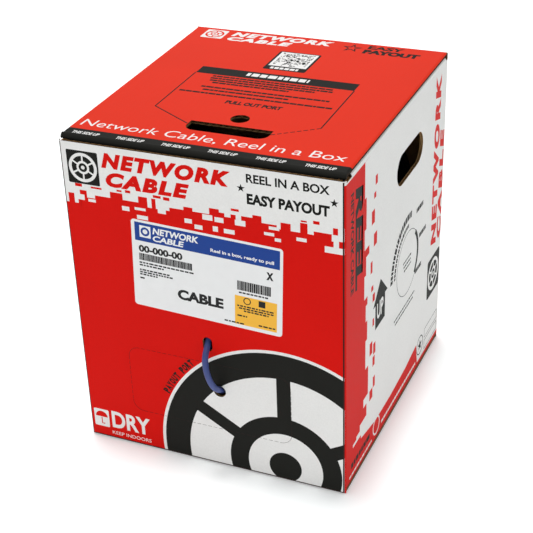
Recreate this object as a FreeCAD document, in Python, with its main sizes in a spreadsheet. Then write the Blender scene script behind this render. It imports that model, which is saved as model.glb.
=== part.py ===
"""Cable spool box: a tuck-top corrugated carton with a reel of data cable on an axle inside.

Units are millimetres. +Z is up, the front (payout) wall faces -Y, and the origin is the
centre of the carton's footprint, on the surface that it stands on.
"""
import FreeCAD
import Part
import math
import os
import Sketcher

ORIGIN, START, END, CENTRE = -1, 1, 2, 3
TO_PLUS_X = FreeCAD.Rotation(FreeCAD.Vector(0, 1, 0), 90)
TO_MINUS_X = FreeCAD.Rotation(FreeCAD.Vector(0, 0, 1), 180).multiply(TO_PLUS_X)
SIDES = (("left", -1), ("right", 1))

SIZES = [
    ("box_width", 340), ("box_depth", 372), ("box_height", 413), ("board", 4),
    # lid, tuck flap and dust flaps
    ("front_edge_drop", 6), ("lid_side_gap", 2.5), ("lid_front_gap", 0.5), ("lid_rest_gap", 0.5),
    ("tuck_length", 60), ("tuck_lean", 9), ("tuck_side_gap", 7), ("tuck_taper", 9),
    ("dust_length", 90), ("dust_front_gap", 16), ("dust_rear_gap", 5), ("dust_rear_cut", 54),
    # closing flaps, glue tab and pad in the bottom of the carton
    ("flap_gap", 1), ("inner_flap_opening", 40), ("glue_tab_width", 34), ("glue_tab_end_gap", 14),
    ("glue_tab_slant", 12), ("pad_gap", 1),
    # openings in the walls and the lid
    ("hand_hole_length", 100), ("hand_hole_height", 40), ("hand_hole_forward", 148),
    ("hand_hole_drop", 79), ("payout_diameter", 14.5), ("payout_across", 14), ("payout_height", 110),
    ("keeper_width", 11), ("keeper_length", 19), ("keeper_height", 172.8),
    ("lid_port_diameter", 22), ("lid_port_across", 8), ("lid_port_back", 103),
    ("lid_slot_length", 100), ("lid_slot_width", 24), ("lid_slot_across", 7), ("lid_slot_back", 71),
    # paper label on the front wall
    ("label_width", 185), ("label_height", 113), ("label_thickness", 0.15), ("label_across", 5),
    ("label_drop", 150), ("label_tilt", 2.1), ("label_corner", 4),
    # reel supports and axle
    ("support_thickness", 12), ("support_depth", 288), ("support_height", 270), ("support_corner", 30),
    ("axle_diameter", 30), ("axle_wall", 3), ("axle_end_gap", 0.5), ("collar_diameter", 44),
    ("collar_length", 12), ("spin_gap", 0.5),
    # reel
    ("reel_wall_gap", 14), ("reel_floor_gap", 6), ("reel_top_gap", 24), ("flange_web", 6),
    ("flange_rim_width", 9), ("flange_rim_height", 10), ("hub_diameter", 60), ("hub_height", 12),
    ("window_diameter", 36), ("window_circle", 214), ("window_count", 6),
    ("bush_diameter", 42), ("bush_play", 0.05), ("bush_lip", 2), ("bush_lip_diameter", 52),
    ("drum_diameter", 100), ("drum_wall", 4), ("winding_depth_below_rim", 18),
    ("rod_diameter", 6), ("rod_play", 0.25), ("rod_circle", 76), ("rod_count", 3), ("rod_tip", 2),
    ("nut_across_corners", 11.5), ("nut_height", 5), ("washer_diameter", 16), ("washer_height", 1.5),
    # cable
    ("cable_diameter", 7.4),
]

DERIVED = [
    ("half_width", "sizes.box_width / 2"),
    ("half_depth", "sizes.box_depth / 2"),
    ("inner_half_width", "sizes.half_width - sizes.board"),
    ("inner_half_depth", "sizes.half_depth - sizes.board"),
    ("flap_top", "2 * sizes.board"),
    ("pad_top", "3 * sizes.board"),
    ("side_top", "sizes.box_height - sizes.board - sizes.lid_rest_gap"),
    ("front_top", "sizes.box_height - sizes.front_edge_drop"),
    ("lid_half_width", "sizes.half_width - sizes.lid_side_gap"),
    ("lid_front", "-sizes.inner_half_depth + sizes.lid_front_gap"),
    ("flange_diameter", "min(2 * sizes.inner_half_depth - 2 * sizes.reel_wall_gap;"
                        " sizes.side_top - sizes.board - sizes.pad_top"
                        " - sizes.reel_floor_gap - sizes.reel_top_gap)"),
    ("axle_height", "sizes.pad_top + sizes.reel_floor_gap + sizes.flange_diameter / 2"),
    ("winding_diameter", "sizes.flange_diameter - 2 * sizes.winding_depth_below_rim"),
    ("support_face", "sizes.inner_half_width - sizes.support_thickness"),
    ("bush_face", "sizes.support_face - sizes.collar_length - sizes.spin_gap"),
    ("winding_half", "sizes.bush_face - sizes.bush_lip - sizes.hub_height"),
]

# Free end of the cable, from where it leaves the winding to the end tucked in behind the front
# wall: x, y, z of each corner of its route.
CABLE_ROUTE = [
    (21.0, -72.5, 49.9), (18.4, -105.0, 65.4), (16.0, -140.0, 84.0), (14.3, -172.0, 102.9),
    (13.8, -195.4, 118.1), (11.3, -204.4, 132.5), (7.0, -205.2, 148.5), (3.0, -198.9, 162.1),
    (0.6, -184.5, 170.2), (-1.0, -172.5, 180.5), (-2.2, -167.0, 196.0), (-2.4, -167.4, 214.0),
    (-1.8, -170.0, 231.0),
]
ARC_SHARE = 0.45

doc = FreeCAD.newDocument("cable_spool_box")
sheet = doc.addObject("Spreadsheet::Sheet", "sizes")


def fill_sheet():
    """Write each driving size as a plain number, and each derived size as a formula."""
    sheet.set("A1", "size")
    sheet.set("B1", "millimetres or degrees")
    row = 2
    for name, value in SIZES:
        sheet.set(f"A{row}", name)
        sheet.set(f"B{row}", str(value))
        sheet.setAlias(f"B{row}", name)
        row += 1
    doc.recompute()
    for name, formula in DERIVED:
        sheet.set(f"A{row}", name)
        sheet.set(f"B{row}", "=" + formula.replace("sizes.", ""))
        sheet.setAlias(f"B{row}", name)
        doc.recompute()
        row += 1


def size(name):
    """Return a size from the sheet as a number."""
    return float(getattr(sheet, name))


def new_body(label):
    """Add an empty body for one piece."""
    body = doc.addObject("PartDesign::Body", label)
    body.Label = label
    return body


def new_sketch(body, plane, offset="0"):
    """Add a sketch on one of the body's own origin planes, moved along the plane's normal."""
    sketch = body.newObject("Sketcher::SketchObject", body.Name + "_sketch")
    support = [feature for feature in body.Origin.OriginFeatures if feature.Role == plane][0]
    sketch.AttachmentSupport = [(support, "")]
    sketch.MapMode = "FlatFace"
    sketch.setExpression("AttachmentOffset.Base.z", offset)
    return sketch


def bind(sketch, constraint, formula):
    """Add a constraint whose value follows a formula of the sheet's sizes."""
    index = sketch.addConstraint(constraint)
    sketch.renameConstraint(index, f"size_{index}")
    sketch.setExpression(f"Constraints.size_{index}", formula)


def pin_point(sketch, edge, end, across, along):
    """Fix a point of the sketch at two distances from the origin."""
    bind(sketch, Sketcher.Constraint("DistanceX", ORIGIN, 1, edge, end, 1.0), across)
    bind(sketch, Sketcher.Constraint("DistanceY", ORIGIN, 1, edge, end, 1.0), along)


def draw_polygon(sketch, corners):
    """Draw a closed outline through corners given as pairs of formulas."""
    count = len(corners)
    ring = [FreeCAD.Vector(math.cos(2 * math.pi * i / count), math.sin(2 * math.pi * i / count), 0)
            for i in range(count)]
    for i in range(count):
        sketch.addGeometry(Part.LineSegment(ring[i], ring[(i + 1) % count]), False)
    for i in range(count):
        sketch.addConstraint(Sketcher.Constraint("Coincident", i, END, (i + 1) % count, START))
    for i, (across, along) in enumerate(corners):
        pin_point(sketch, i, START, across, along)


def draw_circle(sketch, diameter, across="0", along="0"):
    """Draw a circle whose diameter and centre are formulas."""
    edge = sketch.addGeometry(Part.Circle(FreeCAD.Vector(1, 1, 0), FreeCAD.Vector(0, 0, 1), 2.0), False)
    bind(sketch, Sketcher.Constraint("Diameter", edge, 4.0), diameter)
    pin_point(sketch, edge, CENTRE, across, along)


def pad(body, sketch, length):
    """Raise a sketch into a solid along its normal."""
    feature = body.newObject("PartDesign::Pad", body.Name + "_pad")
    feature.Profile = sketch
    feature.setExpression("Length", length)
    doc.recompute()
    return feature


def pocket(body, sketch, depth):
    """Cut a sketch out of the solid, centred on the sketch's plane, and check that it cut."""
    before = body.Shape.Volume
    feature = body.newObject("PartDesign::Pocket", body.Name + "_pocket")
    feature.Profile = sketch
    feature.SideType = "Symmetric"
    feature.setExpression("Length", depth)
    doc.recompute()
    if body.Shape.Volume >= before - 1e-6:
        raise RuntimeError(f"{body.Name}: a pocket removed nothing")
    return feature


def around(body, feature, count):
    """Repeat a feature round the body's own Z axis."""
    pattern = body.newObject("PartDesign::PolarPattern", body.Name + "_around")
    pattern.Originals = [feature]
    axis = [item for item in body.Origin.OriginFeatures if item.Role == "Z_Axis"][0]
    pattern.Axis = (axis, [""])
    pattern.Angle = 360
    pattern.setExpression("Occurrences", count)
    body.Tip = pattern
    doc.recompute()
    return pattern


def extrude(label, plane, corners, offset, length):
    """Make a piece of board from its outline, raised from an offset along the plane's normal."""
    body = new_body(label)
    sketch = new_sketch(body, plane, offset)
    draw_polygon(sketch, corners)
    pad(body, sketch, length)
    return body


def cut_round(body, plane, diameter, across, along, offset, depth):
    """Cut a round hole."""
    sketch = new_sketch(body, plane, offset)
    draw_circle(sketch, diameter, across, along)
    return pocket(body, sketch, depth)


def cut_polygon(body, plane, corners, offset, depth):
    """Cut a straight-sided opening."""
    sketch = new_sketch(body, plane, offset)
    draw_polygon(sketch, corners)
    return pocket(body, sketch, depth)


def cut_slot(body, plane, centre, straight, width, upright, offset, depth):
    """Cut a slot with round ends; straight is the distance between the ends' centres."""
    across, along = centre
    half, side = f"({straight}) / 2", f"({width}) / 2"
    if upright:
        ends = [(across, f"{along} - {half}"), (across, f"{along} + {half}")]
        corners = [(f"{across} - {side}", ends[0][1]), (f"{across} + {side}", ends[0][1]),
                   (f"{across} + {side}", ends[1][1]), (f"{across} - {side}", ends[1][1])]
    else:
        ends = [(f"{across} - {half}", along), (f"{across} + {half}", along)]
        corners = [(ends[0][0], f"{along} - {side}"), (ends[1][0], f"{along} - {side}"),
                   (ends[1][0], f"{along} + {side}"), (ends[0][0], f"{along} + {side}")]
    cut_polygon(body, plane, corners, offset, depth)
    for end in ends:
        cut_round(body, plane, width, end[0], end[1], offset, depth)


def make_front_panel():
    """Front wall: raw top edge, mitred bottom fold, payout hole and keeper slot for the cable."""
    body = extrude("front_panel", "YZ_Plane", [
        ("-sizes.half_depth", "0"), ("-sizes.inner_half_depth", "sizes.board"),
        ("-sizes.inner_half_depth", "sizes.front_top"), ("-sizes.half_depth", "sizes.front_top"),
    ], "-sizes.half_width", "sizes.box_width")
    cut_round(body, "XZ_Plane", "sizes.payout_diameter", "sizes.payout_across", "sizes.payout_height",
              "sizes.half_depth", "4 * sizes.board")
    cut_slot(body, "XZ_Plane", ("0", "sizes.keeper_height"), "sizes.keeper_length - sizes.keeper_width",
             "sizes.keeper_width", True, "sizes.half_depth", "4 * sizes.board")


def make_rear_panel():
    """Rear wall: mitred at the bottom fold and at the lid's fold, with its top corners relieved."""
    body = extrude("rear_panel", "YZ_Plane", [
        ("sizes.half_depth", "0"), ("sizes.half_depth", "sizes.box_height"),
        ("sizes.inner_half_depth", "sizes.box_height - sizes.board"),
        ("sizes.inner_half_depth", "sizes.board"),
    ], "-sizes.half_width", "sizes.box_width")
    for _, side in SIDES:
        edge, cut = f"{side} * sizes.lid_half_width", f"{side} * (sizes.half_width + 1)"
        low, high = "sizes.box_height - 2 * sizes.board", "sizes.box_height + 1"
        cut_polygon(body, "XZ_Plane", [(edge, low), (cut, low), (cut, high), (edge, high)],
                    "-sizes.half_depth", "4 * sizes.board")


def make_side_panels():
    """Side walls, mitred at the dust flap's fold and the inner flap's fold, with a hand hole."""
    for name, side in SIDES:
        body = extrude(f"{name}_side_panel", "XZ_Plane", [
            (f"{side} * sizes.half_width", "sizes.board"),
            (f"{side} * sizes.half_width", "sizes.side_top"),
            (f"{side} * sizes.inner_half_width", "sizes.side_top - sizes.board"),
            (f"{side} * sizes.inner_half_width", "sizes.flap_top"),
        ], "-sizes.inner_half_depth", "2 * sizes.inner_half_depth")
        cut_slot(body, "YZ_Plane", ("sizes.half_depth - sizes.hand_hole_forward",
                                    "sizes.box_height - sizes.hand_hole_drop"),
                 "sizes.hand_hole_length - sizes.hand_hole_height", "sizes.hand_hole_height", False,
                 f"{side} * sizes.half_width", "4 * sizes.board")


def make_glue_tab():
    """Glue tab of the carton's one seam, inside the left wall at the rear corner."""
    low, high = "sizes.pad_top + sizes.glue_tab_end_gap", "sizes.side_top - 2 * sizes.board"
    front = "sizes.inner_half_depth - sizes.glue_tab_width"
    extrude("glue_tab", "YZ_Plane", [
        ("sizes.inner_half_depth", low), ("sizes.inner_half_depth", f"{high} - sizes.glue_tab_end_gap"),
        (front, f"{high} - sizes.glue_tab_end_gap - sizes.glue_tab_slant"),
        (front, f"{low} + sizes.glue_tab_slant"),
    ], "-sizes.inner_half_width", "sizes.board")


def make_bottom_flaps():
    """Four closing flaps: the side walls' flaps lie on top of the front and rear walls' flaps."""
    for name, side in SIDES:
        extrude(f"bottom_inner_flap_{name}", "XZ_Plane", [
            (f"{side} * sizes.half_width", "sizes.board"),
            (f"{side} * sizes.inner_half_width", "sizes.flap_top"),
            (f"{side} * sizes.inner_flap_opening / 2", "sizes.flap_top"),
            (f"{side} * sizes.inner_flap_opening / 2", "sizes.board"),
        ], "-(sizes.inner_half_depth - sizes.flap_gap)", "2 * (sizes.inner_half_depth - sizes.flap_gap)")
    for name, side in (("front", -1), ("rear", 1)):
        extrude(f"bottom_outer_flap_{name}", "YZ_Plane", [
            (f"{side} * sizes.half_depth", "0"),
            (f"{side} * sizes.inner_half_depth", "sizes.board"),
            (f"{side} * sizes.flap_gap", "sizes.board"), (f"{side} * sizes.flap_gap", "0"),
        ], "-(sizes.half_width - sizes.flap_gap)", "2 * (sizes.half_width - sizes.flap_gap)")


def make_base_pad():
    """Loose board pad that covers the closing flaps inside."""
    across, along = "sizes.inner_half_width - sizes.pad_gap", "sizes.inner_half_depth - sizes.pad_gap"
    extrude("base_pad", "XY_Plane", [
        (f"-({across})", f"-({along})"), (across, f"-({along})"), (across, along),
        (f"-({across})", along),
    ], "sizes.flap_top", "sizes.board")


def make_lid_panel():
    """Lid: mitred at its rear fold and along the tuck flap's fold, with a port and a hand slot that is square at its back."""
    body = extrude("lid_panel", "YZ_Plane", [
        ("sizes.lid_front", "sizes.box_height"), ("sizes.half_depth", "sizes.box_height"),
        ("sizes.inner_half_depth", "sizes.box_height - sizes.board"),
        ("sizes.lid_front + sizes.board * (1 + sin(sizes.tuck_lean)) / cos(sizes.tuck_lean)",
         "sizes.box_height - sizes.board"),
    ], "-sizes.lid_half_width", "2 * sizes.lid_half_width")
    cut_round(body, "XY_Plane", "sizes.lid_port_diameter", "sizes.lid_port_across",
              "-sizes.half_depth + sizes.lid_port_back", "sizes.box_height", "4 * sizes.board")
    cut_slot(body, "XY_Plane", ("sizes.lid_slot_across", "-sizes.half_depth + sizes.lid_slot_back"),
             "sizes.lid_slot_length - sizes.lid_slot_width", "sizes.lid_slot_width", False,
             "sizes.box_height", "4 * sizes.board")
    left, right = ("sizes.lid_slot_across - sizes.lid_slot_length / 2",
                   "sizes.lid_slot_across + sizes.lid_slot_length / 2")
    middle = "-sizes.half_depth + sizes.lid_slot_back"
    back = f"{middle} + sizes.lid_slot_width / 2"
    cut_polygon(body, "XY_Plane", [(left, middle), (right, middle), (right, back), (left, back)],
                "sizes.box_height", "4 * sizes.board")


def make_tuck_flap():
    """Tuck flap: hangs from the lid's front edge behind the front wall, leaning slightly inwards."""
    lean, fall = "sin(sizes.tuck_lean)", "cos(sizes.tuck_lean)"
    body = extrude("tuck_flap", "YZ_Plane", [
        ("sizes.lid_front", "sizes.box_height"),
        (f"sizes.lid_front + sizes.board * (1 + {lean}) / {fall}", "sizes.box_height - sizes.board"),
        (f"sizes.lid_front + sizes.tuck_length * {lean} + sizes.board * {fall}",
         f"sizes.box_height - sizes.tuck_length * {fall} + sizes.board * {lean}"),
        (f"sizes.lid_front + sizes.tuck_length * {lean}",
         f"sizes.box_height - sizes.tuck_length * {fall}"),
    ], "-sizes.lid_half_width + sizes.tuck_side_gap", "2 * (sizes.lid_half_width - sizes.tuck_side_gap)")
    root, low = "sizes.box_height - 2 * sizes.board", "sizes.box_height - sizes.tuck_length - 1"
    for _, side in SIDES:
        edge = f"{side} * (sizes.lid_half_width - sizes.tuck_side_gap)"
        cut_polygon(body, "XZ_Plane", [
            (edge, root), (f"{edge} - {side} * sizes.tuck_taper", low), (f"{edge} + {side}", low),
            (f"{edge} + {side}", root),
        ], "-sizes.lid_front", "2 * sizes.tuck_length")


def make_dust_flaps():
    """Dust flaps under the lid, folded in from the side walls and cut back at the rear."""
    front = "-(sizes.inner_half_depth - sizes.dust_front_gap)"
    rear = "sizes.inner_half_depth - sizes.dust_rear_gap"
    for name, side in SIDES:
        tip = f"{side} * (sizes.half_width - sizes.dust_length)"
        body = extrude(f"dust_flap_{name}", "XZ_Plane", [
            (f"{side} * sizes.half_width", "sizes.side_top"), (tip, "sizes.side_top"),
            (tip, "sizes.side_top - sizes.board"),
            (f"{side} * sizes.inner_half_width", "sizes.side_top - sizes.board"),
        ], f"-({rear})", f"{rear} - ({front})")
        cut_polygon(body, "XY_Plane", [
            (f"{side} * sizes.inner_half_width", f"{rear} + 1"),
            (f"{side} * sizes.inner_half_width", rear), (tip, f"{rear} - sizes.dust_rear_cut"),
            (f"{tip} - {side}", f"{rear} - sizes.dust_rear_cut"), (f"{tip} - {side}", f"{rear} + 1"),
        ], "sizes.side_top", "4 * sizes.board")


def make_label():
    """Paper label stuck on the front wall, a little out of true."""
    body = new_body("product_label")
    sketch = new_sketch(body, "XZ_Plane")
    half, high = "sizes.label_width / 2", "sizes.label_height / 2"
    draw_polygon(sketch, [(f"-{half}", f"-{high}"), (half, f"-{high}"), (half, high), (f"-{half}", high)])
    base = pad(body, sketch, "sizes.label_thickness")
    corners = [f"Edge{i + 1}" for i, edge in enumerate(base.Shape.Edges)
               if abs(edge.Length - size("label_thickness")) < 1e-6]
    rounding = body.newObject("PartDesign::Fillet", "product_label_corners")
    rounding.Base = (base, corners)
    rounding.setExpression("Radius", "sizes.label_corner")
    body.Placement = FreeCAD.Placement(FreeCAD.Vector(), FreeCAD.Rotation(FreeCAD.Vector(0, 1, 0),
                                                                          size("label_tilt")))
    body.setExpression("Placement.Base.x", "sizes.label_across")
    body.setExpression("Placement.Base.y", "-sizes.half_depth")
    body.setExpression("Placement.Base.z", "sizes.box_height - sizes.label_drop")


def make_supports():
    """Thick board supports that stand against the side walls, each with an open slot for the axle."""
    half, top = "sizes.support_depth / 2", "sizes.pad_top + sizes.support_height"
    for name, side in SIDES:
        start = "sizes.support_face" if side > 0 else "-sizes.inner_half_width"
        body = extrude(f"reel_support_{name}", "YZ_Plane", [
            (f"-{half}", "sizes.pad_top"), (half, "sizes.pad_top"), (half, f"{top} - sizes.support_corner"),
            (f"{half} - sizes.support_corner", top), (f"-{half} + sizes.support_corner", top),
            (f"-{half}", f"{top} - sizes.support_corner"),
        ], start, "sizes.support_thickness")
        middle, depth = f"{side} * sizes.inner_half_width", "4 * sizes.support_thickness"
        cut_round(body, "YZ_Plane", "sizes.axle_diameter", "0", "sizes.axle_height", middle, depth)
        slot = "sizes.axle_diameter / 2"
        cut_polygon(body, "YZ_Plane", [
            (f"-{slot}", "sizes.axle_height"), (slot, "sizes.axle_height"), (slot, f"{top} + 1"),
            (f"-{slot}", f"{top} + 1"),
        ], middle, depth)


def put_on_axle(body, turn, distance):
    """Turn a piece's own Z axis to the axle and set where it starts along the axle."""
    body.Placement = FreeCAD.Placement(FreeCAD.Vector(), turn)
    body.setExpression("Placement.Base.x", distance)
    body.setExpression("Placement.Base.z", "sizes.axle_height")


def ring(body, outer, inner, start, length):
    """Add a ring round the body's own Z axis."""
    sketch = new_sketch(body, "XY_Plane", start)
    draw_circle(sketch, outer)
    draw_circle(sketch, inner)
    return pad(body, sketch, length)


def make_axle():
    """Axle tube between the side walls and a spacer collar inside each support."""
    axle = new_body("axle_tube")
    ring(axle, "sizes.axle_diameter", "sizes.axle_diameter - 2 * sizes.axle_wall", "0",
         "2 * (sizes.inner_half_width - sizes.axle_end_gap)")
    put_on_axle(axle, TO_PLUS_X, "-(sizes.inner_half_width - sizes.axle_end_gap)")
    for name, side in SIDES:
        collar = new_body(f"spacer_collar_{name}")
        ring(collar, "sizes.collar_diameter", "sizes.axle_diameter", "0", "sizes.collar_length")
        put_on_axle(collar, TO_PLUS_X if side > 0 else TO_MINUS_X,
                    f"{side} * (sizes.support_face - sizes.collar_length)")


def make_flanges():
    """Moulded reel flanges: web, raised rim, hub, viewing windows and rod holes."""
    for name, side in SIDES:
        flange = new_body(f"reel_flange_{name}")
        ring(flange, "sizes.flange_diameter", "sizes.bush_diameter", "0", "sizes.flange_web")
        ring(flange, "sizes.flange_diameter", "sizes.flange_diameter - 2 * sizes.flange_rim_width", "0",
             "sizes.flange_rim_height")
        ring(flange, "sizes.hub_diameter", "sizes.bush_diameter", "0", "sizes.hub_height")
        window = cut_round(flange, "XY_Plane", "sizes.window_diameter", "sizes.window_circle / 2", "0", "0",
                           "4 * sizes.flange_web")
        around(flange, window, "sizes.window_count")
        hole = cut_round(flange, "XY_Plane", "sizes.rod_diameter + 2 * sizes.rod_play",
                         "sizes.rod_circle / 2", "0", "0", "4 * sizes.flange_web")
        around(flange, hole, "sizes.rod_count")
        put_on_axle(flange, TO_PLUS_X if side > 0 else TO_MINUS_X, f"{side} * sizes.winding_half")


def make_bushes():
    """Hub bushes that run on the axle tube, with a lip outside the hub."""
    bore = "sizes.axle_diameter + 2 * sizes.bush_play"
    for name, side in SIDES:
        bush = new_body(f"hub_bush_{name}")
        ring(bush, "sizes.bush_diameter", bore, "0", "sizes.hub_height")
        ring(bush, "sizes.bush_lip_diameter", bore, "sizes.hub_height", "sizes.bush_lip")
        put_on_axle(bush, TO_PLUS_X if side > 0 else TO_MINUS_X, f"{side} * sizes.winding_half")


def make_drum_and_winding():
    """Paper drum between the flanges, and the cable wound on it as one ring."""
    for label, outer, inner in (
            ("reel_drum", "sizes.drum_diameter", "sizes.drum_diameter - 2 * sizes.drum_wall"),
            ("cable_winding", "sizes.winding_diameter", "sizes.drum_diameter")):
        piece = new_body(label)
        ring(piece, outer, inner, "0", "2 * sizes.winding_half")
        put_on_axle(piece, TO_PLUS_X, "-sizes.winding_half")


def place_on_rod(piece, angle, distance, turn):
    """Put a fastener on one tie rod; angle is round the axle, distance is along it."""
    piece.Placement = FreeCAD.Placement(FreeCAD.Vector(), turn)
    piece.setExpression("Placement.Base.x", distance)
    piece.setExpression("Placement.Base.y", f"-sizes.rod_circle / 2 * sin({angle})")
    piece.setExpression("Placement.Base.z", f"sizes.axle_height - sizes.rod_circle / 2 * cos({angle})")


def cylinder(name, radius, length):
    """Add a plain cylinder."""
    piece = doc.addObject("Part::Cylinder", name)
    piece.setExpression("Radius", radius)
    piece.setExpression("Height", length)
    return piece


def group(label, pieces):
    """Keep like fasteners together in one node."""
    node = doc.addObject("Part::Compound", label)
    node.Label = label
    node.Links = pieces


def make_tie_rods():
    """Threaded rods that clamp the flanges on the drum, with a washer and a nut at each end."""
    rods, washers, nuts = [], [], []
    bore = "sizes.rod_diameter / 2"
    beyond = "sizes.flange_web + sizes.washer_height + sizes.nut_height + sizes.rod_tip"
    for i in range(int(size("rod_count"))):
        angle = f"{i} * 360 / sizes.rod_count"
        rod = cylinder(f"rod_{i}", bore, f"2 * (sizes.winding_half + {beyond})")
        place_on_rod(rod, angle, f"-(sizes.winding_half + {beyond})", TO_PLUS_X)
        rods.append(rod)
        for name, side in SIDES:
            turn = TO_PLUS_X if side > 0 else TO_MINUS_X
            face = f"{side} * (sizes.winding_half + sizes.flange_web"
            disc = cylinder(f"washer_disc_{name}_{i}", "sizes.washer_diameter / 2", "sizes.washer_height")
            disc_hole = cylinder(f"washer_hole_{name}_{i}", bore, "sizes.washer_height")
            hexagon = doc.addObject("Part::Prism", f"nut_hexagon_{name}_{i}")
            hexagon.Polygon = 6
            hexagon.setExpression("Circumradius", "sizes.nut_across_corners / 2")
            hexagon.setExpression("Height", "sizes.nut_height")
            nut_hole = cylinder(f"nut_hole_{name}_{i}", bore, "sizes.nut_height")
            for piece in (disc, disc_hole):
                place_on_rod(piece, angle, f"{face})", turn)
            for piece in (hexagon, nut_hole):
                place_on_rod(piece, angle, f"{face} + sizes.washer_height)", turn)
            for solid, hole, kept in ((disc, disc_hole, washers), (hexagon, nut_hole, nuts)):
                part = doc.addObject("Part::Cut", f"{solid.Name}_bored")
                part.Base = solid
                part.Tool = hole
                kept.append(part)
    group("tie_rods", rods)
    group("tie_washers", washers)
    group("tie_nuts", nuts)


def cable_path():
    """Return the cable's path as straight runs joined by tangent arcs, and print each radius."""
    points = [FreeCAD.Vector(*point) for point in CABLE_ROUTE]
    edges, radii, here = [], [], points[0]
    for before, corner, after in zip(points, points[1:], points[2:]):
        back, ahead = (before - corner), (after - corner)
        shorter = min(back.Length, ahead.Length)
        back.normalize()
        ahead.normalize()
        turn = math.pi - back.getAngle(ahead)
        reach = ARC_SHARE * shorter
        radius = reach / math.tan(turn / 2)
        radii.append((radius, math.degrees(turn)))
        start, finish = corner + back * reach, corner + ahead * reach
        bisector = (back + ahead).normalize()
        middle = corner + bisector * (radius / math.cos(turn / 2) - radius)
        edges.append(Part.LineSegment(here, start).toShape())
        edges.append(Part.Arc(start, middle, finish).toShape())
        here = finish
    edges.append(Part.LineSegment(here, points[-1]).toShape())
    print("cable arc radii, mm (turn, degrees):", ", ".join(f"{r:.0f} ({t:.0f})" for r, t in radii))
    return Part.Wire(edges)


def make_cable_lead():
    """Free end of the cable: off the winding, out of the payout hole and back in at the keeper."""
    path = cable_path()
    radius = size("cable_diameter") / 2
    start, direction = path.Edges[0].Vertexes[0].Point, path.Edges[0].tangentAt(0)
    section = Part.Wire([Part.Circle(start, direction, radius).toShape()])
    tube = path.makePipeShell([section], True, False)
    expected = math.pi * radius ** 2 * path.Length
    print(f"cable length {path.Length:.1f} mm, volume {tube.Volume:.0f} of {expected:.0f} mm3")
    if abs(tube.Volume / expected - 1) > 0.01:
        raise RuntimeError("the cable's tube does not follow its path")
    lead = doc.addObject("Part::Feature", "cable_lead")
    lead.Label = "cable_lead"
    lead.Shape = tube
    lead.Placement = FreeCAD.Placement()


NODES = [
    "front_panel", "rear_panel", "left_side_panel", "right_side_panel", "glue_tab",
    "bottom_inner_flap_left", "bottom_inner_flap_right", "bottom_outer_flap_front",
    "bottom_outer_flap_rear", "base_pad", "lid_panel", "tuck_flap", "dust_flap_left",
    "dust_flap_right", "product_label", "reel_support_left", "reel_support_right", "axle_tube",
    "spacer_collar_left", "spacer_collar_right", "reel_flange_left", "reel_flange_right",
    "hub_bush_left", "hub_bush_right", "reel_drum", "cable_winding", "tie_rods", "tie_washers",
    "tie_nuts", "cable_lead",
]


def check_and_write():
    """Stop on any failed object or bad shape, then write one file for each piece."""
    failed = [item.Name for item in doc.Objects if {"Invalid", "Error"} & set(item.State)]
    if failed:
        raise RuntimeError("failed objects: " + ", ".join(failed))
    pieces = {node: doc.getObjectsByLabel(node)[0] for node in NODES}
    for node, piece in pieces.items():
        if piece.Shape.isNull() or not piece.Shape.isValid() or not piece.Shape.Solids:
            raise RuntimeError(f"{node}: bad shape")
    os.makedirs("parts", exist_ok=True)
    for node, piece in pieces.items():
        piece.Shape.exportStep(f"parts/{node}.step")
    print(f"{len(pieces)} pieces written")


fill_sheet()
make_front_panel()
make_rear_panel()
make_side_panels()
make_glue_tab()
make_bottom_flaps()
make_base_pad()
make_lid_panel()
make_tuck_flap()
make_dust_flaps()
make_label()
make_supports()
make_axle()
make_flanges()
make_bushes()
make_drum_and_winding()
make_tie_rods()
make_cable_lead()
doc.recompute()
check_and_write()
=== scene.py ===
"""Looks of the cable spool box: a printed corrugated carton around a reel of data cable.

A piece is modelled flat in millimetres (u across, v up, w outwards) and then put in its place on
the carton in metres, or modelled straight in metres where that is simpler.
"""
import bmesh
import bpy
import math
import random
from mathutils import Matrix, Vector


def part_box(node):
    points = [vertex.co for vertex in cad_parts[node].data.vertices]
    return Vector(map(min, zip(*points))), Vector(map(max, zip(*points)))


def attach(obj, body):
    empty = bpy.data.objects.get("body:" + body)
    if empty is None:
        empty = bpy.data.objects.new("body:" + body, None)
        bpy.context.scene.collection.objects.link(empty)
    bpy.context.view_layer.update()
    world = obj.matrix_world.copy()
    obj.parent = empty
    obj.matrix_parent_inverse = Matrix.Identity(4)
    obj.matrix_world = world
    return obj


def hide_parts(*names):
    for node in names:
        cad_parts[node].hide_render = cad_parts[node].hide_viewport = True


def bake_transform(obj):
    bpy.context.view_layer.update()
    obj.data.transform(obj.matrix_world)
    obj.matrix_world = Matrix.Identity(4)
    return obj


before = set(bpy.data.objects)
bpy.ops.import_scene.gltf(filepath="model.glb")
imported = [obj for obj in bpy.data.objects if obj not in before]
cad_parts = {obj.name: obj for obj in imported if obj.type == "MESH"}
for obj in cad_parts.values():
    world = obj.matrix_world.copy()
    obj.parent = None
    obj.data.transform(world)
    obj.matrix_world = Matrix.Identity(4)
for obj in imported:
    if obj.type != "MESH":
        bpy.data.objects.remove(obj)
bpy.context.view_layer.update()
bpy.ops.object.select_all(action="DESELECT")

mm = 0.001

# ---------------------------------------------------------------- sizes, from the frame
board = (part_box("base_pad")[1].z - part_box("base_pad")[0].z) / mm
half_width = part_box("front_panel")[1].x / mm
half_depth = -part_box("front_panel")[0].y / mm
front_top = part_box("front_panel")[1].z / mm
box_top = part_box("lid_panel")[1].z / mm
side_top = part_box("right_side_panel")[1].z / mm
lid_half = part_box("lid_panel")[1].x / mm
lid_edge = lid_half + 1.6
lid_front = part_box("lid_panel")[0].y / mm
dust_low, dust_high = (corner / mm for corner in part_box("dust_flap_right"))
pad_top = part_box("base_pad")[1].z / mm
axle_height = (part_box("axle_tube")[0].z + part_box("axle_tube")[1].z) / 2 / mm

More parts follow.
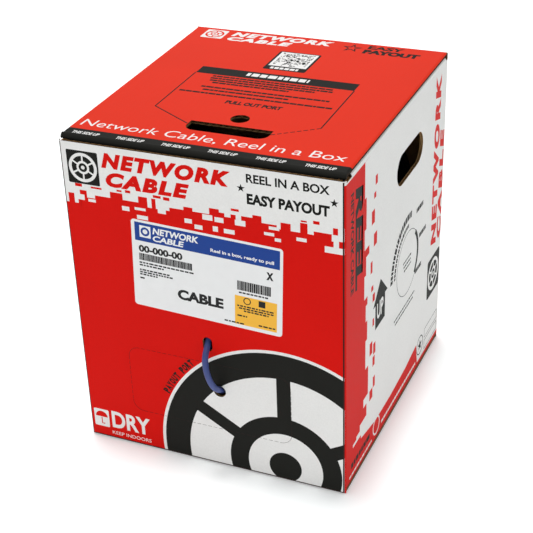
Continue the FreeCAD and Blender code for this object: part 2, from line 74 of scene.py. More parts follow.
liner_thickness = 0.5
medium_thickness = 0.25
flute_pitch = 8
flute_steps = 12
crease_radius = board - 0.1
tuck_lean = math.radians(9)
tuck_length = 60
tuck_fold_reach = 5.8
rear_fold_reach = 5
dust_fold_reach = 4.5
ink_film = 0.03    # thicker than a real film of ink, so that each ink is a closed piece of its own

# heights and widths at which the base colour of the print changes
front_red_top = 322
side_red_edge = -132
side_red_top = 402
side_band_top = 13
lid_strip_edge = -162.5


# ---------------------------------------------------------------- materials
def paint(code):
    """Linear colour of an sRGB hex value."""
    channels = [int(code[i:i + 2], 16) / 255 for i in (1, 3, 5)]
    return tuple(c / 12.92 if c <= 0.04045 else ((c + 0.055) / 1.055) ** 2.4 for c in channels) + (1.0,)


def add_node(material, kind, inputs, **settings):
    """Add a node; each input is given a value, or is linked when it is given a socket."""
    node = material.node_tree.nodes.new("ShaderNode" + kind)
    for name, value in settings.items():
        setattr(node, name, value)
    for name, value in inputs.items():
        if isinstance(value, bpy.types.NodeSocket):
            material.node_tree.links.new(value, node.inputs[name])
        else:
            node.inputs[name].default_value = value
    return node


def new_material(name, **sockets):
    """Start a material: its shader takes constant values, and its Object coordinates are returned."""
    material = bpy.data.materials.new(name)
    material.use_nodes = True
    shader = material.node_tree.nodes["Principled BSDF"]
    for socket, value in sockets.items():
        shader.inputs[socket.replace("_", " ")].default_value = value
    return material, shader, add_node(material, "TexCoord", {}).outputs["Object"]


def join_up(material, shader, **sources):
    """Link sources to sockets of the shader."""
    for socket, source in sources.items():
        material.node_tree.links.new(source, shader.inputs[socket.replace("_", " ")])


def wave_scale(pitch):
    """Scale of a Wave texture whose bands are pitch millimetres apart.

    A noise texture needs no such function, because its scale is its number of cells to a metre.
    """
    return 2 * math.pi / (20 * pitch * mm)


def board_print(name, code, waves):
    """Water-based flexo print on bleached liner, over flutes that follow one another along waves.

    The ink is thin and soaks in, so the paper's fibres cloud it a little, it has a low satin sheen,
    and the flutes show through as a faint washboard.
    """
    material, shader, here = new_material(name, IOR=1.47, Specular_IOR_Level=0.07)
    fibres = add_node(material, "TexNoise", {"Vector": here, "Scale": 520.0, "Detail": 4.0})
    clouds = add_node(material, "TexNoise", {"Vector": here, "Scale": 11.0, "Detail": 3.0})
    fleck = add_node(material, "MapRange", {"Value": fibres.outputs["Fac"], "To Min": 0.93, "To Max": 1.06})
    cloud = add_node(material, "MapRange", {"Value": clouds.outputs["Fac"], "To Min": 0.955, "To Max": 1.045})
    both = add_node(material, "Math", {0: fleck.outputs["Result"], 1: cloud.outputs["Result"]},
                    operation="MULTIPLY")
    tone = add_node(material, "VectorMath", {0: paint(code)[:3], "Scale": both.outputs[0]}, operation="SCALE")
    flutes = add_node(material, "TexWave", {"Vector": here, "Scale": wave_scale(flute_pitch)},
                      wave_type="BANDS", bands_direction=waves)
    washboard = add_node(material, "Bump", {"Height": flutes.outputs["Fac"], "Strength": 0.35,
                                            "Distance": 0.05 * mm})
    tooth = add_node(material, "Bump", {"Height": fibres.outputs["Fac"], "Strength": 0.25,
                                        "Distance": 0.06 * mm, "Normal": washboard.outputs[0]})
    satin = add_node(material, "MapRange", {"Value": fibres.outputs["Fac"], "To Min": 0.48, "To Max": 0.62})
    join_up(material, shader, Base_Color=tone.outputs[0], Normal=tooth.outputs[0],
            Roughness=satin.outputs["Result"])
    return material


def kraft(name, code, waves="X"):
    """Unbleached kraft paper: long brown fibres with darker shives, no coating, so it is quite matt."""
    material, shader, here = new_material(name, IOR=1.45, Specular_IOR_Level=0.12)
    along, across = 300.0, 1100.0    # cells to a metre, along a fibre and across it
    stretch = (along, across, across) if waves == "Y" else (across, along, along)
    grain = add_node(material, "Mapping", {"Vector": here, "Scale": stretch})
    fibres = add_node(material, "TexNoise", {"Vector": grain.outputs[0], "Scale": 1.0, "Detail": 5.0})
    shives = add_node(material, "TexVoronoi", {"Vector": grain.outputs[0], "Scale": 0.55})
    streak = add_node(material, "MapRange", {"Value": fibres.outputs["Fac"], "To Min": 0.80, "To Max": 1.16})
    dots = add_node(material, "MapRange", {"Value": shives.outputs["Distance"], "From Min": 0.05,
                                           "From Max": 0.22, "To Min": 0.72, "To Max": 1.0})
    tone = add_node(material, "Math", {0: streak.outputs["Result"], 1: dots.outputs["Result"]},
                    operation="MULTIPLY")
    brown = add_node(material, "VectorMath", {0: paint(code)[:3], "Scale": tone.outputs[0]},
                     operation="SCALE")
    flutes = add_node(material, "TexWave", {"Vector": here, "Scale": wave_scale(flute_pitch)},
                      wave_type="BANDS", bands_direction=waves)
    washboard = add_node(material, "Bump", {"Height": flutes.outputs["Fac"], "Strength": 0.5,
                                            "Distance": 0.1 * mm})
    fuzz = add_node(material, "Bump", {"Height": fibres.outputs["Fac"], "Strength": 0.5,
                                       "Distance": 0.12 * mm, "Normal": washboard.outputs[0]})
    matt = add_node(material, "MapRange", {"Value": fibres.outputs["Fac"], "To Min": 0.78, "To Max": 0.92})
    join_up(material, shader, Base_Color=brown.outputs[0], Normal=fuzz.outputs[0],
            Roughness=matt.outputs["Result"])
    return material


def label_paper(name, code):
    """Coated label stock: smooth, brighter than the board and a little glossier."""
    material, shader, here = new_material(name, IOR=1.5, Specular_IOR_Level=0.2)
    haze = add_node(material, "TexNoise", {"Vector": here, "Scale": 90.0, "Detail": 3.0})
    cloud = add_node(material, "MapRange", {"Value": haze.outputs["Fac"], "To Min": 0.97, "To Max": 1.03})
    tone = add_node(material, "VectorMath", {0: paint(code)[:3], "Scale": cloud.outputs["Result"]},
                    operation="SCALE")
    gloss = add_node(material, "MapRange", {"Value": haze.outputs["Fac"], "To Min": 0.34, "To Max": 0.44})
    join_up(material, shader, Base_Color=tone.outputs[0], Roughness=gloss.outputs["Result"])
    return material


def cable_jacket(name):
    """Extruded PVC jacket: satin, with a fine drawn texture and slow changes of tone."""
    material, shader, here = new_material(name, IOR=1.53, Specular_IOR_Level=0.35)
    slow = add_node(material, "TexNoise", {"Vector": here, "Scale": 60.0, "Detail": 2.0})
    fine = add_node(material, "TexNoise", {"Vector": here, "Scale": 1600.0, "Detail": 2.0})
    cloud = add_node(material, "MapRange", {"Value": slow.outputs["Fac"], "To Min": 0.88, "To Max": 1.12})
    tone = add_node(material, "VectorMath", {0: paint("#3c4a84")[:3], "Scale": cloud.outputs["Result"]},
                    operation="SCALE")
    skin = add_node(material, "Bump", {"Height": fine.outputs["Fac"], "Strength": 0.3, "Distance": 0.03 * mm})
    satin = add_node(material, "MapRange", {"Value": fine.outputs["Fac"], "To Min": 0.36, "To Max": 0.48})
    join_up(material, shader, Base_Color=tone.outputs[0], Normal=skin.outputs[0],
            Roughness=satin.outputs["Result"])
    return material


def moulded(name, code, roughness, texture=0.08):
    """Injection-moulded plastic: a spark-eroded texture of some depth in mm, and soft flow clouds."""
    material, shader, here = new_material(name, IOR=1.55, Specular_IOR_Level=0.45)
    grit = add_node(material, "TexNoise", {"Vector": here, "Scale": 1300.0, "Detail": 3.0})
    flow = add_node(material, "TexNoise", {"Vector": here, "Scale": 18.0, "Detail": 3.0})
    cloud = add_node(material, "MapRange", {"Value": flow.outputs["Fac"], "To Min": 0.85, "To Max": 1.15})
    tone = add_node(material, "VectorMath", {0: paint(code)[:3], "Scale": cloud.outputs["Result"]},
                    operation="SCALE")
    skin = add_node(material, "Bump", {"Height": grit.outputs["Fac"], "Strength": 0.5,
                                       "Distance": texture * mm})
    satin = add_node(material, "MapRange", {"Value": flow.outputs["Fac"], "To Min": roughness - 0.06,
                                            "To Max": roughness + 0.08})
    join_up(material, shader, Base_Color=tone.outputs[0], Normal=skin.outputs[0],
            Roughness=satin.outputs["Result"])
    return material


def zinc_plate(name, thread=None):
    """Bright zinc-plated steel: cloudy mirror. thread gives a rod's thread pitch in millimetres."""
    material, shader, here = new_material(name, Metallic=1.0)
    cloud = add_node(material, "TexNoise", {"Vector": here, "Scale": 220.0, "Detail": 3.0})
    depth = add_node(material, "MapRange", {"Value": cloud.outputs["Fac"], "To Min": 0.82, "To Max": 1.08})
    tone = add_node(material, "VectorMath", {0: paint("#c8cac9")[:3], "Scale": depth.outputs["Result"]},
                    operation="SCALE")
    bright = add_node(material, "MapRange", {"Value": cloud.outputs["Fac"], "To Min": 0.22, "To Max": 0.38})
    join_up(material, shader, Base_Color=tone.outputs[0], Roughness=bright.outputs["Result"])
    if thread:
        turns = add_node(material, "TexWave", {"Vector": here, "Scale": wave_scale(thread)},
                         wave_type="BANDS", bands_direction="X", wave_profile="TRI")
        grooves = add_node(material, "Bump", {"Height": turns.outputs["Fac"], "Strength": 1.0,
                                              "Distance": 0.5 * mm})
        join_up(material, shader, Normal=grooves.outputs[0])
    return material


def spiral_tube(name):
    """Spiral-wound paper tube: a butt seam that climbs round the tube, and kraft fibres."""
    material, shader, here = new_material(name, IOR=1.45, Specular_IOR_Level=0.25)
    fibres = add_node(material, "TexNoise", {"Vector": here, "Scale": 700.0, "Detail": 4.0})
    seam = add_node(material, "TexWave", {"Vector": here, "Scale": wave_scale(60.0), "Distortion": 0.2},
                    wave_type="BANDS", bands_direction="DIAGONAL")
    streak = add_node(material, "MapRange", {"Value": fibres.outputs["Fac"], "To Min": 0.85, "To Max": 1.12})
    line = add_node(material, "MapRange", {"Value": seam.outputs["Fac"], "From Max": 0.04,
                                           "To Min": 0.55, "To Max": 1.0})
    tone = add_node(material, "Math", {0: streak.outputs["Result"], 1: line.outputs["Result"]},
                    operation="MULTIPLY")
    brown = add_node(material, "VectorMath", {0: paint("#a98a61")[:3], "Scale": tone.outputs[0]},
                     operation="SCALE")
    groove = add_node(material, "Bump", {"Height": line.outputs["Result"], "Strength": 0.6,
                                         "Distance": 0.3 * mm})
    matt = add_node(material, "MapRange", {"Value": fibres.outputs["Fac"], "To Min": 0.6, "To Max": 0.8})
    join_up(material, shader, Base_Color=brown.outputs[0], Normal=groove.outputs[0],
            Roughness=matt.outputs["Result"])
    return material


# the lid's red is the red ink made lighter and more orange: painted sheen of the light the lid catches
INKS = {"white": "#e6e5e3", "red": "#d30d04", "bright red": "#d82e17", "black": "#1d1d1a"}
PRINT = {(ink, waves): board_print(f"flexo_{ink.replace(' ', '_')}_on_liner_{waves.lower()}", code, waves)
         for waves in ("X", "Y") for ink, code in INKS.items()}
KRAFT = {waves: kraft(f"kraft_liner_{waves.lower()}", "#b58f61", waves) for waves in ("X", "Y")}
KRAFT["medium"] = kraft("kraft_medium", "#96754c")
# a near-black copy of kraft for raw cut edges, hole walls and fold ends: painted shade
KRAFT["cut"] = kraft("die_cut_edge_painted_shade", "#2a1f15")
# dark ink for the shade in the creases, under the bottom edge and in the tear-out cuts: painted shade
CREASE_SHADE_INK = board_print("scored_liner_shadow", "#33201e", "X")
LABEL = {ink: label_paper(f"label_{ink}", code) for ink, code in (
    ("paper", "#e8e8e8"), ("blue", "#083a8c"), ("yellow", "#f1b63b"), ("black", "#151515"))}
JACKET = cable_jacket("pvc_cable_jacket")
POLYSTYRENE = moulded("black_moulded_polystyrene", "#1e1e20", 0.42)
ACETAL = moulded("natural_acetal", "#e4e2d8", 0.38, 0.02)
ZINC = zinc_plate("bright_zinc_plated_steel")
THREAD = zinc_plate("zinc_plated_threaded_rod", thread=1.0)
PAPER_TUBE = spiral_tube("spiral_wound_paper_tube")


# ---------------------------------------------------------------- modelling helpers
def frame_of(across, up, origin=(0, 0, 0)):
    """Matrix that takes a flat piece in millimetres to its place in metres."""
    across, up = Vector(across), Vector(up)
    turn = Matrix((across, up, across.cross(up))).transposed().to_4x4()
    return Matrix.Translation(Vector(origin) * mm) @ turn @ Matrix.Scale(mm, 4)


X, Y, Z = Vector((1, 0, 0)), Vector((0, 1, 0)), Vector((0, 0, 1))
tuck_up = Vector((0, -math.sin(tuck_lean), math.cos(tuck_lean)))
PLACES = {
    "front": frame_of(X, Z, (0, -half_depth, 0)),
    "right": frame_of(Y, Z, (half_width, 0, 0)),
    "rear": frame_of(-X, Z, (0, half_depth, 0)),
    "left": frame_of(-Y, Z, (-half_width, 0, 0)),
    "lid": frame_of(X, Y, (0, 0, box_top)),
    "tuck": frame_of(X, tuck_up, (0, lid_front, box_top)),
    "dust": frame_of(X, Y, (0, 0, side_top)),
    "pad": frame_of(X, Y, (0, 0, pad_top)),
    "inner_flap": frame_of(X, -Y, (0, 0, board)),
    "outer_flap": frame_of(X, -Y),
    "glue_tab": frame_of(-Y, Z, (-half_width + board, 0, 0)),
    "along_x": frame_of(Y, Z),
    "along_y": frame_of(X, Z),
}


def only(piece):
    """Select one object and make it the active one."""
    bpy.ops.object.select_all(action="DESELECT")
    piece.select_set(True)
    bpy.context.view_layer.objects.active = piece


def block(left, right, low, high, back, front):
    """Add a block between three pairs of limits."""
    middle = ((left + right) / 2, (low + high) / 2, (back + front) / 2)
    bpy.ops.mesh.primitive_cube_add(size=1, location=middle)
    piece = bpy.context.object
    piece.scale = (right - left, high - low, front - back)
    bpy.ops.object.transform_apply(location=True, rotation=True, scale=True)
    return piece


def pick(piece, kind, test):
    """Select the edges or faces that pass a test, in edit mode."""
    bpy.ops.mesh.select_mode(type=kind)
    bpy.ops.mesh.select_all(action="DESELECT")
    mesh = bmesh.from_edit_mesh(piece.data)
    for item in (mesh.edges if kind == "EDGE" else mesh.faces):
        if test(item):
            item.select_set(True)
    bmesh.update_edit_mesh(piece.data)


def slice_at(piece, point, normal, drop=False):
    """Cut a piece along a plane; drop takes away what lies beyond the plane and closes the cut."""
    only(piece)
    bpy.ops.object.mode_set(mode="EDIT")
    bpy.ops.mesh.select_all(action="SELECT")
    bpy.ops.mesh.bisect(plane_co=point, plane_no=normal, use_fill=drop, clear_outer=drop)
    bpy.ops.object.mode_set(mode="OBJECT")


def modify(piece, kind, **settings):
    """Add a modifier and apply it."""
    only(piece)
    modifier = piece.modifiers.new("shape", kind)
    for name, value in settings.items():
        setattr(modifier, name, value)
    bpy.ops.object.modifier_apply(modifier=modifier.name)


def tidy(piece):
    """Merge doubled points and turn the faces outwards."""
    only(piece)
    bpy.ops.object.mode_set(mode="EDIT")
    bpy.ops.mesh.select_all(action="SELECT")
    bpy.ops.mesh.remove_doubles(threshold=0.0005)
    bpy.ops.mesh.normals_make_consistent(inside=False)
    bpy.ops.object.mode_set(mode="OBJECT")


def join(pieces, name):
    """Make several pieces one."""
    bpy.ops.object.select_all(action="DESELECT")
    for piece in pieces:
        piece.select_set(True)
    bpy.context.view_layer.objects.active = pieces[0]
    if len(pieces) > 1:
        bpy.ops.object.join()
    pieces[0].name = pieces[0].data.name = name
    return pieces[0]


def use(piece, *materials):
    """Give a piece its materials, in order."""
    piece.data.materials.clear()
    for material in materials:
        piece.data.materials.append(material)
    return piece


def put(piece, place):
    """Put a flat piece in its place."""
    piece.data.transform(PLACES[place])
    piece.data.update()
    return piece


def ready(piece, body, slot, *nodes):
    """Tell the frame what a finished piece rides on and hide the nodes it stands for; slot, its finish, is
    not used.
    """
    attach(piece, body)
    if nodes:
        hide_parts(*nodes)
    return piece


# ---------------------------------------------------------------- outlines, in millimetres
def rect(left, right, low, high):
    """Outline of a rectangle."""
    return [(left, low), (right, low), (right, high), (left, high)]


def circle(u, v, radius, steps=48):
    """Outline of a circle."""
    return [(u + radius * math.cos(2 * math.pi * i / steps), v + radius * math.sin(2 * math.pi * i / steps))
            for i in range(steps)]


def rounded(left, right, low, high, radius, steps=6):
    """Outline of a rectangle with rounded corners."""
    points = []
    for turn, u, v in ((0, right, high), (90, left, high), (180, left, low), (270, right, low)):
        u += -radius if u == right else radius
        v += -radius if v == high else radius
        for i in range(steps + 1):
            angle = math.radians(turn + 90 * i / steps)
            points.append((u + radius * math.cos(angle), v + radius * math.sin(angle)))
    return points


def stroke(start, end, width):
    """Outline of a straight line of some width."""
    along = Vector((end[0] - start[0], end[1] - start[1])).normalized() * width / 2
    (a, b), (c, d) = start, end
    return [(a + along.y, b - along.x), (c + along.y, d - along.x),
            (c - along.y, d + along.x), (a - along.y, b + along.x)]


def star(u, v, radius):
    """Outline of a five-pointed star."""
    return [(u + radius * (1 if i % 2 == 0 else 0.4) * math.sin(math.pi * i / 5),
             v + radius * (1 if i % 2 == 0 else 0.4) * math.cos(math.pi * i / 5)) for i in range(10)]


def cut_out(outlines, low, high):
    """Make a flat solid from closed outlines; an outline inside another is a hole."""
    curve = bpy.data.curves.new("outline", "CURVE")
    curve.dimensions = "2D"
    curve.fill_mode = "BOTH"
    curve.extrude = (high - low) / 2
    for outline in outlines:
        spline = curve.splines.new("POLY")
        spline.points.add(len(outline) - 1)
        for point, (u, v) in zip(spline.points, outline):
            point.co = (u, v, 0, 1)
        spline.use_cyclic_u = True
    piece = bpy.data.objects.new("outline", curve)
    bpy.context.collection.objects.link(piece)
    only(piece)
    bpy.ops.object.convert(target="MESH")
    piece = bpy.context.object
    piece.data.transform(Matrix.Translation((0, 0, (low + high) / 2)))
    tidy(piece)
    return piece


def flat(outlines, layer=1):
    """One ink's shapes; a higher layer prints over a lower one."""
    return cut_out(outlines, 0, layer * ink_film)


def letters(words, left, right, low, high, bold=0.0, slant=0.0, turn=0, layer=1, gap=1.0):
    """Words that fill a rectangle. turn is 90 to read upwards and -90 to read downwards."""
    bpy.ops.object.text_add()
    text = bpy.context.object
    text.data.body = words
    text.data.size = 10
    text.data.offset = bold
    text.data.shear = slant
    text.data.space_character = gap
    text.data.resolution_u = 4
    text.data.extrude = 1
    bpy.ops.object.convert(target="MESH")
    piece = bpy.context.object
    tidy(piece)
    points = [vertex.co for vertex in piece.data.vertices]
    lowest = Vector([min(point[i] for point in points) for i in range(3)])
    highest = Vector([max(point[i] for point in points) for i in range(3)])
    span = highest - lowest
    long, tall = (high - low, right - left) if turn else (right - left, high - low)
    centre = Matrix.Translation(-(lowest + highest) / 2)
    size = Matrix.Diagonal((long / span.x, tall / span.y, layer * ink_film / span.z, 1))
    spin = Matrix.Rotation(math.radians(turn), 4, "Z")
    to = Matrix.Translation(((left + right) / 2, (low + high) / 2, layer * ink_film / 2))
    piece.data.transform(to @ spin @ size @ centre)
    return piece


def arc_letters(words, u, v, radius, start, end, height):
    """Words set clockwise round an arc, from one angle to another."""
    pieces = []
    step = (end - start) / (len(words) - 1)
    width = abs(math.radians(step)) * radius * 0.86
    for i, letter in enumerate(words):
        if letter == " ":
            continue
        angle = start + step * i
        piece = letters(letter, -width / 2, width / 2, -height / 2, height / 2, bold=0.6)
        piece.data.transform(Matrix.Translation((u, v, 0)) @ Matrix.Rotation(math.radians(angle - 90), 4, "Z")
                             @ Matrix.Translation((0, radius, 0)))
        pieces.append(piece)
    return pieces


def bars(left, right, low, high, seed, widest=7, gap=1.3):
    """A line of print too small to read: bars as long as words."""
    pick_width = random.Random(seed)
    outlines = []
    while left < right - 1.5:
        end = min(right, left + pick_width.uniform(widest * 0.35, widest))
        outlines.append(rect(left, end, low, high))
        left = end + gap
    return outlines


def barcode(left, right, low, high, seed):
    """Upright bars of random width that encode nothing."""
    return bars(left, right, low, high, seed, widest=2.4, gap=0.42)


def dashes(points, dash, gap, width):
    """Dashes along a line through points."""
    outlines = []
    for (a, b), (c, d) in zip(points, points[1:]):
        length = math.hypot(c - a, d - b)
        at = 0
        while at < length:
            end = min(length, at + dash)
            outlines.append(stroke((a + (c - a) * at / length, b + (d - b) * at / length),
                                   (a + (c - a) * end / length, b + (d - b) * end / length), width))
            at = end + gap
    return outlines


def reel_sign(u, v, radius, layer=1):
    """Plain drawing of a reel's flange: rim, six spokes and a hub."""
    pieces = [flat([circle(u, v, radius, 96), circle(u, v, radius * 0.79, 96)], layer),
              flat([circle(u, v, radius * 0.45, 64), circle(u, v, radius * 0.30, 64)], layer),
              flat([circle(u, v, radius * 0.13)], layer)]
    for i in range(6):
        angle = math.radians(30 + 60 * i)
        way = (math.cos(angle), math.sin(angle))
        ends = [(u + way[0] * radius * share, v + way[1] * radius * share) for share in (0.43, 0.82)]
        pieces.append(flat([stroke(*ends, radius * 0.11)], layer + 1))
    return pieces


# ---------------------------------------------------------------- corrugated board
def liner(area, face, rolled=(), zones=None, skins=None, roll=None):
    """One liner. The named edges roll over with the crease; zones gives (lines across, lines up, chooser)."""
    left, right, low, high = area
    piece = block(left, right, low, high, face - board + 0.05, face)
    bpy.ops.object.mode_set(mode="EDIT")
    tests = {"left": lambda e: all(abs(p.co.x - left) < 0.01 for p in e.verts),
             "right": lambda e: all(abs(p.co.x - right) < 0.01 for p in e.verts),
             "low": lambda e: all(abs(p.co.y - low) < 0.01 for p in e.verts)}
    if rolled:
        pick(piece, "EDGE", lambda e: all(abs(p.co.z - face) < 0.01 for p in e.verts)
             and any(tests[edge](e) for edge in rolled))
        bpy.ops.mesh.bevel(offset=roll or crease_radius, segments=5, affect="EDGES")
    ends = {"left": -X, "right": X, "low": -Y, "high": Y}
    open_sides = [-Z] + [way for edge, way in ends.items() if edge not in rolled]
    pick(piece, "FACE", lambda f: any(f.normal.dot(way) > 0.999 for way in open_sides))
    bpy.ops.mesh.delete(type="FACE")
    bpy.ops.object.mode_set(mode="OBJECT")
    use(piece, *skins)
    if zones:
        across, up, chooser = zones
        for line in across:
            slice_at(piece, (line, 0, 0), (1, 0, 0))
        for line in up:
            slice_at(piece, (0, line, 0), (0, 1, 0))
        for polygon in piece.data.polygons:
            polygon.material_index = chooser(polygon.center, polygon.normal)
    modify(piece, "SOLIDIFY", thickness=liner_thickness, offset=-1, material_offset=9, material_offset_rim=9)
    return piece


def medium(area, middle, waves):
    """The fluted sheet between two liners; its waves follow one another along u or along v."""
    left, right, low, high = area
    span = right - left if waves == "u" else high - low
    count = max(2, round(span / flute_pitch * flute_steps))
    bpy.ops.mesh.primitive_grid_add(x_subdivisions=count if waves == "u" else 1,
                                    y_subdivisions=1 if waves == "u" else count, size=1,
                                    location=((left + right) / 2, (low + high) / 2, 0))
    piece = bpy.context.object
    piece.scale = (right - left, high - low, 1)
    bpy.ops.object.transform_apply(location=True, rotation=True, scale=True)
    swing = (board - 2 * liner_thickness - medium_thickness) / 2
    for vertex in piece.data.vertices:
        along = vertex.co.x if waves == "u" else vertex.co.y
        vertex.co.z = middle + swing * math.sin(2 * math.pi * along / flute_pitch)
    modify(piece, "SOLIDIFY", thickness=medium_thickness, offset=0)
    return use(piece, KRAFT["medium"])


def corrugated(name, place, area, waves="u", plies=1, rolled=(), cutters=(), trims=(), zones=None,
               skins=None, grain="X", roll=None, painted_shade_top=False):
    """Make a sheet of board: liners with a fluted medium between them, cut to shape and put in place.

    The last argument paints the upper raw edge with the near-black kraft: painted shade under the lid.
    """
    left, right, low, high = area
    inset = roll or board
    inner = (left + inset * ("left" in rolled), right - inset * ("right" in rolled),
             low + inset * ("low" in rolled), high)
    brown = KRAFT[grain]
    sheets = [liner(area, 0, rolled, zones, [*skins, brown] if skins else [brown], roll)]
    for ply in range(plies):
        sheets.append(medium(inner, -(ply + 0.5) * board, waves))
        sheets.append(liner(inner, -(ply + 1) * board + liner_thickness, skins=[brown]))
    for sheet in sheets:
        for point, normal in trims:
            slice_at(sheet, (*point, 0), (*normal, 0), drop=True)
        for cutter in cutters:
            modify(sheet, "BOOLEAN", solver="EXACT", object=cutter, material_mode="TRANSFER")
    for cutter in cutters:
        bpy.data.objects.remove(cutter)
    sheet = join(sheets, name)
    # painted shade: the upper raw edge takes the near-black kraft
    if painted_shade_top:
        sheet.data.materials.append(KRAFT["cut"])
        for polygon in sheet.data.polygons:
            if polygon.normal.y > 0.9:
                polygon.material_index = len(sheet.data.materials) - 1
    return put(sheet, place)


def hole(outline, grain="X"):
    """A cutter for a hole right through a sheet of board."""
    return use(cut_out([outline], -20, 20), KRAFT[grain])


# ---------------------------------------------------------------- camera, cord and stage
def set_camera():
    """Aim the camera from the right of the front wall and from above, leaning slightly."""
    azimuth, elevation, roll = math.radians(27.15), math.radians(30.96), math.radians(-3.78)
    aim, distance = Vector((-80.9, -42.5, 130.0)) * mm, 1716 * mm
    back = Vector((math.sin(azimuth) * math.cos(elevation), -math.cos(azimuth) * math.cos(elevation),
                   math.sin(elevation)))
    level = Z.cross(back).normalized()
    upright = back.cross(level)
    across = level * math.cos(roll) + upright * math.sin(roll)
    up = upright * math.cos(roll) - level * math.sin(roll)
    bpy.ops.object.camera_add()
    camera = bpy.context.object
    turn = Matrix((across, up, back)).transposed().to_4x4()
    camera.matrix_world = Matrix.Translation(aim + back * distance) @ turn
    camera.data.lens = 90.55
    camera.data.sensor_width = 36
    camera.data.shift_x = 0.1283
    camera.data.shift_y = 0.0689
    camera.data.clip_start = 0.05
    bpy.context.scene.camera = camera


cable_diameter = 7.4 * mm
CABLE_ROUTE = [
    (0.0210, -0.0725, 0.0499), (0.0184, -0.1050, 0.0654), (0.0160, -0.1400, 0.0840),
    (0.0143, -0.1720, 0.1029), (0.0138, -0.1954, 0.1181), (0.0113, -0.2044, 0.1325),
    (0.0070, -0.2052, 0.1485), (0.0030, -0.1989, 0.1621), (0.0006, -0.1845, 0.1702),
    (-0.0010, -0.1725, 0.1805), (-0.0022, -0.1670, 0.1960), (-0.0024, -0.1674, 0.2140),
    (-0.0018, -0.1700, 0.2310),
]


def make_cable():
    """Free end of the cable: out of the payout hole, and tucked back in at the keeper slot."""
    curve = bpy.data.curves.new("cable_lead_line", "CURVE")
    curve.dimensions = "3D"
    line = curve.splines.new("NURBS")
    line.points.add(len(CABLE_ROUTE) - 1)
    for point, place in zip(line.points, CABLE_ROUTE):
        point.co = (*place, 1)
    line.order_u = 3
    line.use_endpoint_u = True
    line.resolution_u = 16
    curve.bevel_depth = cable_diameter / 2
    curve.bevel_resolution = 8
    curve.use_fill_caps = True
    curve.materials.append(JACKET)
    cable = bpy.data.objects.new("cable_free_end", curve)
    bpy.context.collection.objects.link(cable)
    ready(cable, "carton", "cable_jacket", "cable_lead")


def add_sun(name, toward, strength, spread):
    """A distant light that stands toward a direction; spread is its width in degrees."""
    aim = (-Vector(toward)).to_track_quat("-Z", "Y").to_euler()
    bpy.ops.object.light_add(type="SUN", rotation=aim)
    sun = bpy.context.object
    sun.name = name
    sun.data.energy = strength
    sun.data.angle = math.radians(spread)


def set_stage():
    """White floor that glows a little, an even surround, and three soft lights.

    The overhead light stands slightly behind the carton, so that its shadow is a narrow rim.
    """
    bpy.ops.mesh.primitive_plane_add(size=14)
    floor = bpy.context.object
    floor.name = "floor"
    paper, shader, here = new_material("white_backdrop_paper", Roughness=0.9, Specular_IOR_Level=0.1,
                                       Emission_Color=(1, 1, 1, 1), Emission_Strength=0.24)
    mottle = add_node(paper, "TexNoise", {"Vector": here, "Scale": 3.0})
    cloud = add_node(paper, "MapRange", {"Value": mottle.outputs["Fac"], "To Min": 0.995, "To Max": 1.005})
    tone = add_node(paper, "VectorMath", {0: (0.85, 0.88, 0.88), "Scale": cloud.outputs["Result"]},
                    operation="SCALE")
    join_up(paper, shader, Base_Color=tone.outputs[0])
    use(floor, paper)
    world = bpy.data.worlds.new("studio")
    world.use_nodes = True
    world.node_tree.nodes["Background"].inputs["Color"].default_value = (1, 1, 1, 1)
    world.node_tree.nodes["Background"].inputs["Strength"].default_value = 0.50
    bpy.context.scene.world = world
    bpy.context.scene.view_settings.view_transform = "Standard"
    add_sun("overhead", (-0.06, 0.06, 1), 1.95, 11)
    add_sun("front_fill", (-0.2, -1, 0.35), 0.37, 70)
    place = Vector((-1.1, 2.4, 1.55))
    aim = (-place).to_track_quat("-Z", "Y").to_euler()
    bpy.ops.object.light_add(type="AREA", location=place, rotation=aim)
    sheen = bpy.context.object
    sheen.name = "sheen_from_behind"
    sheen.data.size = 2.0
    sheen.data.energy = 6


# ---------------------------------------------------------------- walls, lid and flaps
payout_hole = circle(13.7, 109.7, 7.9, 40)
keeper_slot = rounded(-4.6, 7.4, 163.3, 182.3, 5.99, 8)


def front_zones(middle, facing):
    """Base print of the front and rear walls; their creases carry the side walls' print."""
    if facing.x > 0.7:
        return 1 if middle.y < side_red_top else 0
    if facing.x < -0.7:
        return 1 if middle.y < side_band_top else 0
    return 1 if middle.y < front_red_top else 0


def side_zones(middle, facing):
    """Base print of the side walls: a red strip along one edge and a red band at the foot."""
    if middle.y < side_band_top or (middle.x < side_red_edge and middle.y < side_red_top):
        return 1
    return 0


